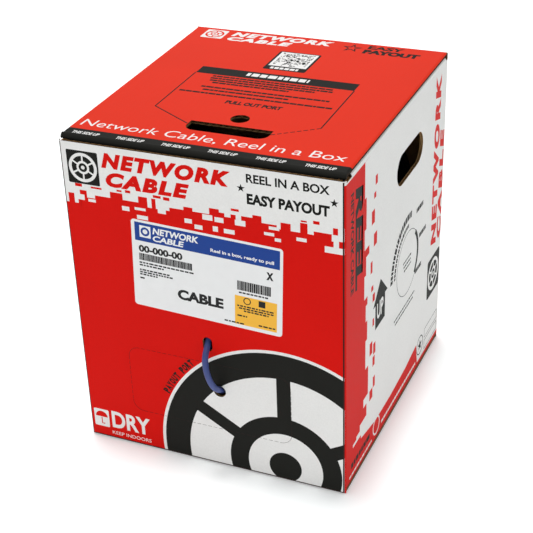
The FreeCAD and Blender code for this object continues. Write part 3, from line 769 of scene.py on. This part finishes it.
def make_walls():
    """Four walls. The front and rear ones carry the rounded corner creases."""
    # the payout hole and keeper slot walls take the near-black kraft: painted shade
    front_holes = [hole(outline, "cut") for outline in (payout_hole, keeper_slot)]
    area = (-half_width, half_width, 0, front_top)
    inks = [PRINT["white", "X"], PRINT["red", "X"]]
    # its top raw edge is painted near-black: painted shade under the lid's fold
    wall = corrugated("front_wall", "front", area, rolled=("left", "right", "low"),
                      cutters=front_holes, painted_shade_top=True,
                      zones=((), (side_band_top, front_red_top, side_red_top), front_zones), skins=inks)
    ready(wall, "carton", "printed_board", "front_panel")
    area = (-half_width, half_width, 0, box_top - rear_fold_reach)
    wall = corrugated("rear_wall", "rear", area, rolled=("left", "right", "low"),
                      zones=((), (side_band_top, front_red_top, side_red_top), front_zones), skins=inks)
    ready(wall, "carton", "printed_board", "rear_panel")
    inks = [PRINT["white", "Y"], PRINT["red", "Y"]]
    reach = half_depth - board
    for side, sign in (("left", -1), ("right", 1)):
        hand = hole(rounded(sign * 38 - 50, sign * 38 + 50, 314, 354, 19.99, 12), "Y")
        wall = corrugated(f"{side}_wall", side, (-reach, reach, board, side_top - dust_fold_reach),
                          rolled=("low",), cutters=[hand], skins=inks, grain="Y",
                          zones=((side_red_edge,), (side_band_top, side_red_top), side_zones))
        ready(wall, "carton", "printed_board", f"{side}_side_panel")


def lid_zones(middle, facing):
    """Base print of the lid: red, a black strip along the front, and near-black kraft on the raw faces under
    its crushed side edges, which is painted shade.
    """
    if abs(facing.x) > 0.95:
        return 2
    return int(middle.y < lid_strip_edge)


def make_lid():
    """Lid, tuck flap and dust flaps. Die cutting has crushed the lid's side edges round."""
    slot = [point for point in rounded(-43, 57, -127, -103, 11.99, 8) if point[1] < -115]
    slot += [(57, -103), (-43, -103)]
    # the port and slot walls take the near-black kraft: painted shade
    lid = corrugated("lid_board", "lid", (-lid_edge, lid_edge, lid_front + tuck_fold_reach,
                                          half_depth - rear_fold_reach), rolled=("left", "right"), roll=2.6,
                     cutters=[hole(circle(8, -83, 11), "cut"), hole(slot, "cut")],
                     skins=[PRINT["bright red", "X"], PRINT["black", "X"], KRAFT["cut"]],
                     zones=((), (lid_strip_edge,), lid_zones))
    ready(lid, "lid", "printed_board", "lid_panel")
    edge = lid_half - 7
    taper = Vector((tuck_length, 9)).normalized()
    trims = [((sign * edge, -8), (sign * taper.x, -taper.y)) for sign in (-1, 1)]
    tuck = corrugated("tuck_board", "tuck", (-edge, edge, -tuck_length, -tuck_fold_reach), trims=trims,
                      skins=[PRINT["white", "X"], PRINT["black", "X"]],
                      zones=((), (-18,), lambda middle, facing: int(middle.y > -18)))
    ready(tuck, "tuck", "printed_board", "tuck_flap")
    for side, sign in (("left", -1), ("right", 1)):
        inner, outer = 80, half_width - dust_fold_reach
        area = (*sorted((sign * inner, sign * outer)), dust_low.y, dust_high.y)
        slope = Vector((54, half_width - board - inner)).normalized()
        corner = (sign * (half_width - board), dust_high.y)
        flap = corrugated(f"dust_flap_board_{side}", "dust", area, waves="v", grain="Y",
                          trims=[(corner, (-sign * slope.x, slope.y))], skins=[PRINT["white", "Y"]])
        ready(flap, f"dust_{side}", "printed_board", f"dust_flap_{side}")


def fold(name, place, section, corner, reach, start, end, skins):
    """A rounded fold between two boards: an L-shaped section along the fold with its corner rolled.

    start and end are its limits along the fold; the section reaches from one board's end to the other's.
    """
    piece = cut_out([section], start, end)
    only(piece)
    bpy.ops.object.mode_set(mode="EDIT")
    pick(piece, "EDGE", lambda e: all((p.co.xy - Vector(corner)).length < 0.01 for p in e.verts))
    bpy.ops.mesh.bevel(offset=reach - 0.01, segments=10, affect="EDGES")
    bpy.ops.object.mode_set(mode="OBJECT")
    use(piece, *skins)
    inside = Vector([sum(point[i] for point in section) / len(section) for i in (0, 1)])
    far = (Vector(corner) - inside).length
    for polygon in piece.data.polygons:
        outward = polygon.normal.xy.dot(Vector(corner) - inside) / far
        # end faces take the third material, the near-black kraft: painted shade at the ends of each fold
        polygon.material_index = 2 if abs(polygon.normal.z) > 0.5 else int(outward < 0.6)
    piece.name = piece.data.name = name
    only(piece)
    bpy.ops.object.shade_smooth_by_angle(angle=math.radians(35))
    put(piece, place)
    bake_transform(piece)


def make_folds():
    """The lid's front and rear folds, and the fold of each dust flap."""
    low, high = box_top - board, box_top
    lean, fall = math.sin(tuck_lean), math.cos(tuck_lean)
    lid_end, reach = lid_front + tuck_fold_reach, tuck_fold_reach
    tuck_end = (lid_front + reach * lean, box_top - reach * fall)
    inner_end = (tuck_end[0] + board * fall, tuck_end[1] + board * lean)
    inner = (lid_front + board * (1 + lean) / fall, low)
    section = [(lid_end, high), (lid_front, high), tuck_end, inner_end, inner, (lid_end, low)]
    fold("front_fold", "along_x", section, (lid_front, high), reach, -lid_edge, lid_edge,
         [PRINT["black", "X"], KRAFT["X"], KRAFT["cut"]])
    lid_end, wall_end = half_depth - rear_fold_reach, box_top - rear_fold_reach
    section = [(lid_end, high), (half_depth, high), (half_depth, wall_end), (half_depth - board, wall_end),
               (half_depth - board, low), (lid_end, low)]
    fold("rear_fold", "along_x", section, (half_depth, high), rear_fold_reach, -lid_edge, lid_edge,
         [PRINT["bright red", "X"], KRAFT["X"], KRAFT["cut"]])
    for side, sign in (("left", -1), ("right", 1)):
        wall_end, flap_end = side_top - dust_fold_reach, sign * (half_width - dust_fold_reach)
        outer, inner, top = sign * half_width, sign * (half_width - board), side_top
        section = [(outer, wall_end), (outer, top), (flap_end, top), (flap_end, top - board),
                   (inner, top - board), (inner, wall_end)]
        fold(f"dust_fold_{side}", "along_y", section, (outer, top), dust_fold_reach, -dust_high.y,
             -dust_low.y,
             [PRINT["white", "Y"], KRAFT["Y"], KRAFT["cut"]])


def make_bottom():
    """Closing flaps, glue tab and loose pad."""
    reach, across = half_depth - board - 1, half_width - 1
    inner_tip, outer_tip = 20, 1    # how far from the middle of the bottom the flaps end
    for side, sign in (("left", -1), ("right", 1)):
        limits = sorted((sign * inner_tip, sign * (half_width - board)))
        flap = corrugated(f"inner_flap_board_{side}", "inner_flap", (*limits, -reach, reach),
                          waves="v", grain="Y")
        ready(flap, "carton", "kraft_board", f"bottom_inner_flap_{side}")
    # the outer flaps' edges and inner liner take the near-black kraft: painted shade along the carton's
    # bottom edge
    for name, sign in (("front", 1), ("rear", -1)):
        limits = sorted((sign * outer_tip, sign * (half_depth - board)))
        flap = corrugated(f"outer_flap_board_{name}", "outer_flap", (-across, across, *limits), grain="cut",
                          skins=[KRAFT["X"]])
        ready(flap, "carton", "kraft_board", f"bottom_outer_flap_{name}")
    low, high = (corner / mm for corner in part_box("glue_tab"))
    slope = Vector((12, high.y - low.y)).normalized()
    trims = [((-low.y, high.z - 12), (slope.x, slope.y)), ((-low.y, low.z + 12), (slope.x, -slope.y))]
    tab = corrugated("glue_tab_board", "glue_tab", (-high.y, -low.y, low.z, high.z), trims=trims, grain="Y")
    ready(tab, "carton", "kraft_board", "glue_tab")
    low, high = (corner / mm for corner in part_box("base_pad"))
    pad = corrugated("base_pad_board", "pad", (low.x, high.x, low.y, high.y))
    ready(pad, "carton", "kraft_board", "base_pad")


def make_supports():
    """Triple-wall supports with an open slot for the axle."""
    for side, sign in (("left", -1), ("right", 1)):
        low, high = (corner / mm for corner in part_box(f"reel_support_{side}"))
        slot = [(-15, high.z + 5), (-15, axle_height)]
        slot += [(15 * math.cos(angle), axle_height + 15 * math.sin(angle))
                 for angle in (math.pi * (1 + i / 16) for i in range(1, 16))]
        slot += [(15, axle_height), (15, high.z + 5)]
        trims = [((way * high.y, high.z - 30), (way, 1)) for way in (-1, 1)]
        PLACES[f"support_{side}"] = frame_of(sign * Y, Z, ((high.x if sign > 0 else low.x), 0, 0))
        support = corrugated(f"support_board_{side}", f"support_{side}", (low.y, high.y, low.z, high.z),
                             plies=3, trims=trims, cutters=[hole(slot, "Y")], grain="Y")
        ready(support, "carton", "kraft_board", f"reel_support_{side}")


# ---------------------------------------------------------------- reel
def make_winding():
    """Cable wound on the drum: the outer layer as one helix, and the ends of the layers below."""
    low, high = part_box("cable_winding")
    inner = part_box("reel_drum")[1].z - axle_height * mm
    outer, half, radius = high.z - axle_height * mm, high.x, cable_diameter / 2
    turns = int((2 * half - cable_diameter) / cable_diameter)
    steps, path_radius = 40, outer - radius
    curve = bpy.data.curves.new("winding_line", "CURVE")
    curve.dimensions = "3D"
    line = curve.splines.new("POLY")
    line.points.add(turns * steps)
    for i, point in enumerate(line.points):
        angle = 2 * math.pi * i / steps
        along = -half + radius + (2 * half - cable_diameter) * i / (turns * steps)
        point.co = (along, -path_radius * math.sin(angle),
                    axle_height * mm - path_radius * math.cos(angle), 1)
    curve.bevel_depth = radius
    curve.bevel_resolution = 3
    curve.use_fill_caps = True
    helix = bpy.data.objects.new("winding_line", curve)
    bpy.context.collection.objects.link(helix)
    only(helix)
    bpy.ops.object.convert(target="MESH")
    pieces = [bpy.context.object]
    layers = int((outer - inner) / cable_diameter)
    for sign in (-1, 1):
        for layer in range(layers):
            ring = inner + radius + layer * (outer - inner - cable_diameter) / (layers - 1)
            bpy.ops.mesh.primitive_torus_add(major_radius=ring, minor_radius=radius, major_segments=64,
                                             minor_segments=10, rotation=(0, math.pi / 2, 0),
                                             location=(sign * (half - radius), 0, axle_height * mm))
            bpy.ops.object.transform_apply(location=True, rotation=True, scale=True)
            pieces.append(bpy.context.object)
    bpy.ops.mesh.primitive_cylinder_add(radius=outer - cable_diameter * 0.8, depth=2 * half - cable_diameter,
                                        vertices=96, rotation=(0, math.pi / 2, 0),
                                        location=(0, 0, axle_height * mm))
    bpy.ops.object.transform_apply(location=True, rotation=True, scale=True)
    pieces.append(bpy.context.object)
    winding = join(pieces, "wound_cable")
    bpy.ops.object.shade_smooth_by_angle(angle=math.radians(40))
    use(winding, JACKET)
    ready(winding, "reel", "cable_jacket", "cable_winding")


def finish_reel():
    """Materials of the pieces that keep their shape."""
    for name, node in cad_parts.items():
        if "flange" in name:
            use(node, POLYSTYRENE)
        elif "bush" in name:
            use(node, ACETAL)
        elif name in ("reel_drum", "axle_tube") or "collar" in name:
            use(node, PAPER_TUBE)
        elif name == "tie_rods":
            use(node, THREAD)
        elif name in ("tie_nuts", "tie_washers"):
            use(node, ZINC)


# ---------------------------------------------------------------- print
def roll_over(piece, limit):
    """Carry print that passes the flat of a wall round the corner creases and the bottom crease."""
    for k in range(7):
        slice_at(piece, (limit + k, 0, 0), (1, 0, 0))
        slice_at(piece, (-limit - k, 0, 0), (1, 0, 0))
        slice_at(piece, (0, crease_radius - k, 0), (0, 1, 0))
    for vertex in piece.data.vertices:
        aside, below = abs(vertex.co.x) - limit, crease_radius - vertex.co.y
        radius = crease_radius + vertex.co.z
        if below > 0 and below > aside:
            angle = below / crease_radius
            vertex.co.y = crease_radius - radius * math.sin(angle)
            vertex.co.z = radius * math.cos(angle) - crease_radius
        elif aside > 0:
            angle = aside / crease_radius
            vertex.co.x = math.copysign(limit + radius * math.sin(angle), vertex.co.x)
            vertex.co.z = radius * math.cos(angle) - crease_radius


def press(place, body, art, waves):
    """Print one face: art maps each ink to its shapes, and each ink becomes one piece."""
    for ink, shapes in art.items():
        piece = join(shapes, f"{place}_print_{ink.replace(' ', '_')}")
        if place in ("front", "rear"):
            roll_over(piece, half_width - crease_radius)
        # the crease pieces are painted shade in a dark ink, not print
        material = CREASE_SHADE_INK if ink == "crease_shadow" else PRINT[ink, waves]
        ready(put(use(piece, material), place), body, "printed_board")


def ragged_edge(left, right, base, low, high, seed, narrow=5, wide=13):
    """Outline of a colour that ends in steps of uneven width and height."""
    chance = random.Random(seed)
    points, at = [(left, base)], left
    while at < right:
        end = min(right, at + chance.uniform(narrow, wide))
        top = chance.choice((low, low + (high - low) * 0.35, low + (high - low) * 0.7, high))
        points += [(at, top), (end, top)]
        at = end
    points.append((right, base))
    return points


def scattered(left, right, low, high, count, seed, wide=13, tall=7):
    """Loose blocks that don't touch each other."""
    chance, blocks = random.Random(seed), []
    for _ in range(count * 12):
        if len(blocks) == count:
            break
        u, v = chance.uniform(left, right - wide), chance.uniform(low, high - tall)
        across, up = chance.uniform(wide * 0.4, wide), chance.uniform(tall * 0.45, tall)
        if all(u + across < b[0] - 1 or u > b[1] + 1 or v + up < b[2] - 1 or v > b[3] + 1 for b in blocks):
            blocks.append((u, u + across, v, v + up))
    return [rect(*b) for b in blocks]


def big_reel_sign(ports):
    """Large reel drawing that runs off the right and lower edges of the wall."""
    u, v, radius = 95, 20, 162.5
    keyline = [flat([circle(u, v, radius, 128)], 1)]
    sign = reel_sign(u, v, radius - 4, 2)
    if ports:
        cutter = cut_out([payout_hole], -20, 20)
        modify(keyline[0], "BOOLEAN", solver="EXACT", object=cutter)
        modify(sign[0], "BOOLEAN", solver="EXACT", object=cutter)
        bpy.data.objects.remove(cutter)
    for piece in keyline + sign:
        slice_at(piece, (half_width - crease_radius + 3, 0, 0), (1, 0, 0), drop=True)
        slice_at(piece, (0, 0.4, 0), (0, -1, 0), drop=True)
    for piece in [piece for piece in sign if not piece.data.vertices]:
        sign.remove(piece)
        bpy.data.objects.remove(piece)
    return keyline, sign


def front_art(ports):
    """Print of the front wall, and of the rear wall without what belongs to the ports."""
    keyline, sign = big_reel_sign(ports)
    edge = half_width - crease_radius + 3
    red_ink = [flat([ragged_edge(-edge, -148, front_red_top - 1, 331, 343, 4, 4, 9)]),
               flat([ragged_edge(-148.5, edge, front_red_top - 1, 340, 352, 5, 4, 12)]),
               flat(scattered(-160, 165, 352, 358, 9, 8, 14, 4)),
               letters("NETWORK", -117, 41, 380.5, 399.5, bold=0.62, slant=0.25, gap=1.22),
               letters("CABLE", -113, -9, 358, 376.5, bold=0.62, slant=0.25, gap=1.22)]
    stepped = [(147, 321.5), (edge, 321.5), (edge, 329), (163, 329), (163, 337), (edge, 337), (edge, 353),
               (162, 353), (162, 344), (155, 344), (155, 336), (157, 336), (157, 329), (147, 329)]
    white_ink = keyline + [flat(scattered(-164, 140, 323, 345, 17, 3, 15, 7), 2), flat([stepped], 2)]
    black_ink = sign + [flat([rounded(-161, -121, 356.5, 397.5, 1.5)]),
                        letters("REEL IN A BOX", 59, 153, 389.5, 400, bold=0.28),
                        letters("EASY PAYOUT", 59, 153, 364, 377, bold=0.45),
                        flat([star(52.5, 382, 5)]), flat([star(158, 381, 5)])]
    white_ink += reel_sign(-141, 377, 18, 2)
    white_ink += [flat([rounded(-164, -143, 16, 42, 2), *umbrella(-153.5, 29)], 1),
                  letters("DRY", -139, -85, 18, 43, bold=0.3),
                  letters("KEEP INDOORS", -140, -85, 7.5, 12.5)]
    crease = edge - 1.9    # where the corner creases turn away
    # dark strips along both corner creases and the bottom crease: painted shade, the bottom one a painted
    # contact shadow
    crease_shadow = [flat([rect(crease, crease + 1.7, 1.2, front_top - 1)], 3),
             flat([rect(-crease - 1.7, -crease, 1.2, front_top - 1)], 3),
             flat([rect(-crease, crease, -0.55 * crease_radius, 3.4)], 3)]
    art = {"red": red_ink, "white": white_ink, "black": black_ink, "crease_shadow": crease_shadow}
    if ports:
        black_ink += arc_letters("PAYOUT PORT", 95, 20, 169, 154, 134, 9.5)
        # the tear-out line is a real perforation, its dashes painted shade in the dark crease ink
        tear_out = rounded(-105, 104, 55, 147, 14)
        crease_shadow.append(flat(dashes(tear_out + tear_out[:1], 5, 2.2, 0.34), 4))
    return art


def umbrella(u, v):
    """Keep-dry sign, as holes in the square that it stands in: canopy, stick and its crook."""
    canopy = [(u + 8.5 * math.cos(math.radians(a)), v + 1.5 + 8.5 * math.sin(math.radians(a)))
              for a in range(0, 181, 15)]
    return [canopy, rect(u - 0.7, u + 0.7, v - 9, v + 0.7), rect(u + 1.0, u + 4.0, v - 9, v - 7.6)]


def side_art():
    """Print of a side wall."""
    strip = [(v, u) for u, v in ragged_edge(66, side_red_top, side_red_edge - 2, -124, -108, 12, 9, 26)]
    specks = [[(v, u) for u, v in outline] for outline in scattered(70, 400, -104, -76, 13, 21, 17, 11)]
    mound = [(-140, 12), (92, 12), (86, 44), (40, 37), (-20, 34), (-80, 35), (-128, 44), (-146, 47)]
    red_ink = [flat([strip]), flat(specks), flat([mound]),
               letters("NETWORK", 137, 160, 160, 398, bold=0.64, slant=0.2, turn=90, gap=1.3),
               letters("CABLE", 163, 181, 160, 318, bold=0.64, slant=0.2, turn=90, gap=1.3)]
    black_ink = [letters("REEL", -154, -130, 258, 384, bold=0.5, slant=0.12, turn=-90),
                 letters("NETWORK CABLE", -169, -159, 261, 384, bold=0.3, turn=-90),
                 flat([[(-84, 168), (-49, 168), (-49, 201), (-40, 201), (-66, 228), (-92, 201), (-84, 201)]]),
                 flat([rounded(127, 180, 88, 145, 4)]),
                 flat(bars(-166, -100, 23, 30, 4, 14, 2), 2)]
    black_ink += gauge(38, 194)
    white_ink = reel_sign(153.5, 116.5, 23, 2)
    white_ink += [letters("UP", -78, -55, 178, 200, bold=0.3, layer=2),
                  flat(bars(-172, -92, 12, 15, 5, 9), 2), flat(bars(-56, 84, 15, 19, 6, 9), 2),
                  flat([circle(-75, 25, 13), circle(-75, 25, 10.5)], 2),
                  flat([[(-160, 50), (-128, 50), (-128, 66), (-136, 66), (-136, 58), (-148, 58), (-148, 54),
                         (-160, 54)]], 2)]
    black_ink += [flat([circle(103, 34, 14), circle(103, 34, 12.5)]),
                  flat([star(103, 34, 9)]),
                  flat(frame_line(122, 178, 16, 30)), flat(frame_line(122, 178, 34, 48))]
    return {"red": red_ink, "white": white_ink, "black": black_ink}


def frame_line(left, right, low, high):
    """Two outlines that make a thin rectangular frame."""
    width = 0.8
    return [rect(left, right, low, high), rect(left + width, right - width, low + width, high - width)]


def gauge(u, v):
    """Round gauge: a thin ring with a thick stretch, and lines of small print round it."""
    pieces = [flat([circle(u, v, 43, 72), circle(u, v, 42.2, 72)])]
    outline = [(u + r * math.cos(math.radians(a)), v + r * math.sin(math.radians(a)))
               for r, angles in ((44, range(-45, 46, 5)), (38, range(45, -46, -5))) for a in angles]
    pieces.append(flat([outline], 2))
    chance = random.Random(9)
    for radius, start, end, tall in ((63, 178, 80, 4.2), (51, 178, 88, 2.6)):
        angle = start
        while angle > end:
            width = chance.uniform(3, 7)
            ring = [(u + r * math.cos(math.radians(angle - width * share)),
                     v + r * math.sin(math.radians(angle - width * share)))
                    for r, shares in ((radius + tall, (0, 0.5, 1)), (radius - tall, (1, 0.5, 0)))
                    for share in shares]
            pieces.append(flat([ring]))
            angle -= width + 1.2
    for left, right, low, seed in ((70, 97, 246, 1), (84, 112, 205, 2), (70, 96, 160, 3)):
        pieces.append(flat(bars(left, right, low, low + 6, seed, 8, 0.8)))
    for left, right, low, seed in ((20, 52, 199, 4), (22, 50, 193, 5), (24, 52, 187, 6),
                                   (-12, 70, 135, 7), (-8, 66, 129, 8)):
        pieces.append(flat(bars(left, right, low, low + 2.6, seed, 6)))
    return pieces


def code_square(left, right, low, cells, seed):
    """Random square cells that encode nothing."""
    chance = random.Random(seed)
    size = (right - left) / cells
    outlines = []
    for row in range(cells):
        column = 0
        while column < cells:
            run = chance.randint(1, 3)
            if chance.random() < 0.5:
                outlines.append(rect(left + column * size, left + min(cells, column + run) * size - 0.05,
                                     low + row * size, low + (row + 1) * size - 0.05))
            column += run + 1
    return outlines


def lid_art():
    """Print of the lid."""
    white_ink = [letters("Network Cable, Reel in a Box", -160, 157, -155, -136, slant=0.06, bold=-0.02),
                 flat([rounded(-150, -120, 147, 176, 2)]),
                 letters("NETWORK", -112, 26, 160.5, 175.5, bold=0.62, slant=0.2, gap=1.22),
                 letters("CABLE", -112, -24, 145, 158, bold=0.62, slant=0.2, gap=1.22),
                 flat([rect(-25.5, 23.5, 79.5, 126)], 2), flat(bars(-20, 18, 70, 76, 3, 8), 2),
                 flat(bars(-38, 42, 39, 48, 14, 11, 2), 2)]
    for i in range(6):
        start = -158 + 55.8 * i
        white_ink.append(letters("THIS SIDE UP", start, start + 34, -175, -168.5, bold=0.3, slant=0.2))
    black_ink = [flat([rounded(-28.5, 26.5, 67, 128, 3)]), flat(code_square(-22, 20, 82, 25, 6), 3),
                 flat([rect(-101, 102, 32, 53)]),
                 letters("PULL OUT PORT", -28, 42, -47, -37.5, bold=0.55),
                 flat([star(53, 163, 13.5), star(53, 163, 8.5)]),
                 letters("EASY", 72, 118, 165.5, 176.5, bold=0.4),
                 letters("PAYOUT", 70, 142, 149.5, 163, bold=0.7)]
    for left, right, low, seed in ((-76, 78, 25, 21), (-76, 80, 18.5, 22), (-74, 60, 12, 23),
                                   (-68, 30, 5.5, 24), (-76, 86, -8.5, 25), (-70, 40, -17, 26),
                                   (-96, 96, -27, 27)):
        black_ink.append(flat(bars(left, right, low, low + 4.0, seed, 10, 0.8)))
    for start, end in (((-101.4, 32), (-101.4, -78)), ((-101.4, -78), (-44, -112)),
                       ((102.4, 32), (103.6, -80))):
        black_ink.append(flat([stroke(start, end, 1.6)]))
    black_ink.append(flat(dashes([(103.6, -80), (56, -114)], 5, 2.4, 1.6)))
    red_ink = reel_sign(-135, 161.5, 12.5, 2)
    return {"white": white_ink, "black": black_ink, "bright red": red_ink}


def make_label():
    """Paper label on the front wall, with its print, stuck on slightly out of true."""
    low, high = (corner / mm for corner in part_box("product_label"))
    middle, thickness, tilt = (low + high) / 2, high.y - low.y, math.radians(-2.1)
    PLACES["label"] = PLACES["front"] @ Matrix.Translation((middle.x, middle.z, thickness)) \
        @ Matrix.Rotation(tilt, 4, "Z")
    paper = cut_out([rounded(-92.5, 92.5, -56.5, 56.5, 4)], -thickness, 0)
    paper.name = paper.data.name = "label_sheet"
    ready(put(use(paper, LABEL["paper"]), "label"), "carton", "label_paper", "product_label")
    blue = [flat([rect(-88.2, 89, 29.8, 53.5)])]
    on_blue = [flat([rect(-82, -68, 35, 50), *[circle(-75, 42.5, 5.6), circle(-75, 42.5, 3.0)]], 2),
               letters("NETWORK", -65.5, -8.5, 41.5, 50, bold=0.35, slant=0.15, layer=2),
               letters("CABLE", -65.5, -26.5, 32.5, 40, bold=0.35, slant=0.15, layer=2),
               letters("Reel in a box, ready to pull", 6, 82, 33.5, 39, bold=0.3, layer=2)]
    black = [letters("00-000-00", -84, -29, 15.5, 24.5, bold=0.45), flat(barcode(-84, -16.5, 4.8, 13.8, 31)),
             letters("X", 73, 81.5, 14, 24, bold=0.65), flat(barcode(38, 78.5, -6.5, 5.5, 32)),
             letters("CABLE", -36.5, 21, -36.8, -23.2, bold=0.5)]
    for left, right, base, seed in ((-84, -14, 0.6, 41), (-84, -53, -2.8, 42), (-84, -46, -9, 43),
                                    (-84, -40, -12, 44), (-84, -60, -15, 45), (-84, -76, -20, 46),
                                    (40, 76, -10.5, 47), (22, 46, -51.5, 48), (38, 84, -28, 49),
                                    (40, 82, -31, 50), (46, 76, -34, 51), (38, 50, -41, 52),
                                    (64, 84, -49, 53)):
        black.append(flat(bars(left, right, base, base + 1.9, seed, 6, 1), 2))
    black += [flat([circle(50, -19.5, 4.6), circle(50, -19.5, 3.4)], 2),
              flat([rect(64, 72, -23.5, -15.5)], 2)]
    yellow = [flat([rect(35, 86, -52, -14)])]
    for ink, shapes in (("blue", blue), ("paper", on_blue), ("black", black), ("yellow", yellow)):
        piece = join(shapes, f"label_print_{ink}")
        ready(put(use(piece, LABEL[ink]), "label"), "carton", "label_paper")


set_camera()
make_cable()
set_stage()
make_walls()
make_lid()
make_folds()
make_bottom()
make_supports()
make_winding()
finish_reel()
press("front", "carton", front_art(True), "X")
press("rear", "carton", front_art(False), "X")
press("right", "carton", side_art(), "Y")
press("left", "carton", side_art(), "Y")
press("lid", "lid", lid_art(), "X")
make_label()
